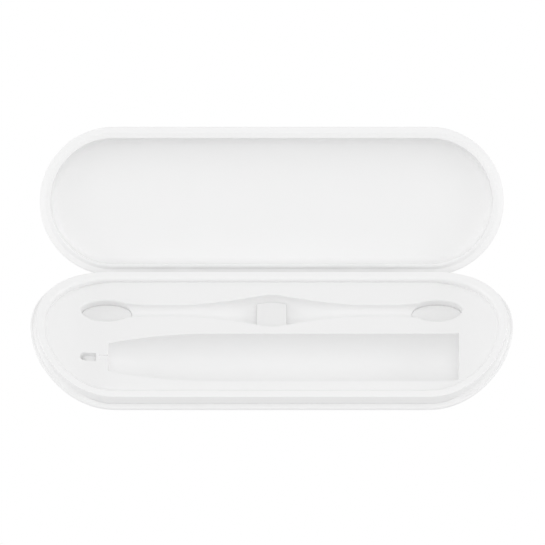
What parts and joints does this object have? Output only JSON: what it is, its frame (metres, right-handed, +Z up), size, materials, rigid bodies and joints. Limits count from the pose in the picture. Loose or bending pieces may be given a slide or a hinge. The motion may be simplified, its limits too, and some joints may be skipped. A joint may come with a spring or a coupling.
{
  "type": "toothbrush travel case",
  "caption": "Pill-shaped hinged case, open: tray with a half-round handle trough and a brush-head recess, smooth dished lid, magnetic closure.",
  "frame": {"origin": "centre of the base's footprint, on the ground, at the middle of the foot pad", "axes": "+X along the case towards the trough's square end, +Y towards the hinge, +Z up"},
  "size_m": [0.246, 0.1555, 0.0559],
  "materials": {
    "shell_plastic": "satin",
    "collar_plastic": "satin",
    "tray_plastic": "matte, fine texture",
    "lid_plastic": "satin",
    "liner_plastic": "satin",
    "hinge_plastic": "semi-gloss",
    "soft_white": "matte",
    "foot_rubber": "matte",
    "steel": "satin",
    "magnet": "nickel plated"
  },
  "bodies": {
    "base": {"lower_shell": "shell_plastic", "rim_frame": "collar_plastic", "tray": "tray_plastic", "centre_rest": "tray_plastic", "head_pad_left": "soft_white", "head_pad_right": "soft_white", "hinge_bracket_left": "hinge_plastic", "hinge_bracket_right": "hinge_plastic", "hinge_pin_left": "steel", "hinge_pin_right": "steel", "base_magnets": "magnet", "foot_pad": "foot_rubber", "tray_screws": "steel", "rim_screws": "steel", "bracket_screws": "steel"},
    "lid": {"lid_shell": "lid_plastic", "lid_liner": "liner_plastic", "lid_seal": "soft_white", "hinge_arm_left": "hinge_plastic", "hinge_arm_right": "hinge_plastic", "lid_magnets": "magnet", "arm_screws": "steel"}
  },
  "joints": [
    {"name": "lid_hinge", "type": "hinge", "parent": "base", "child": "lid", "pos_m": [0, 0.0394, 0.016], "axis": [1, 0, 0], "range_deg": [0, 144.5]}
  ]
}
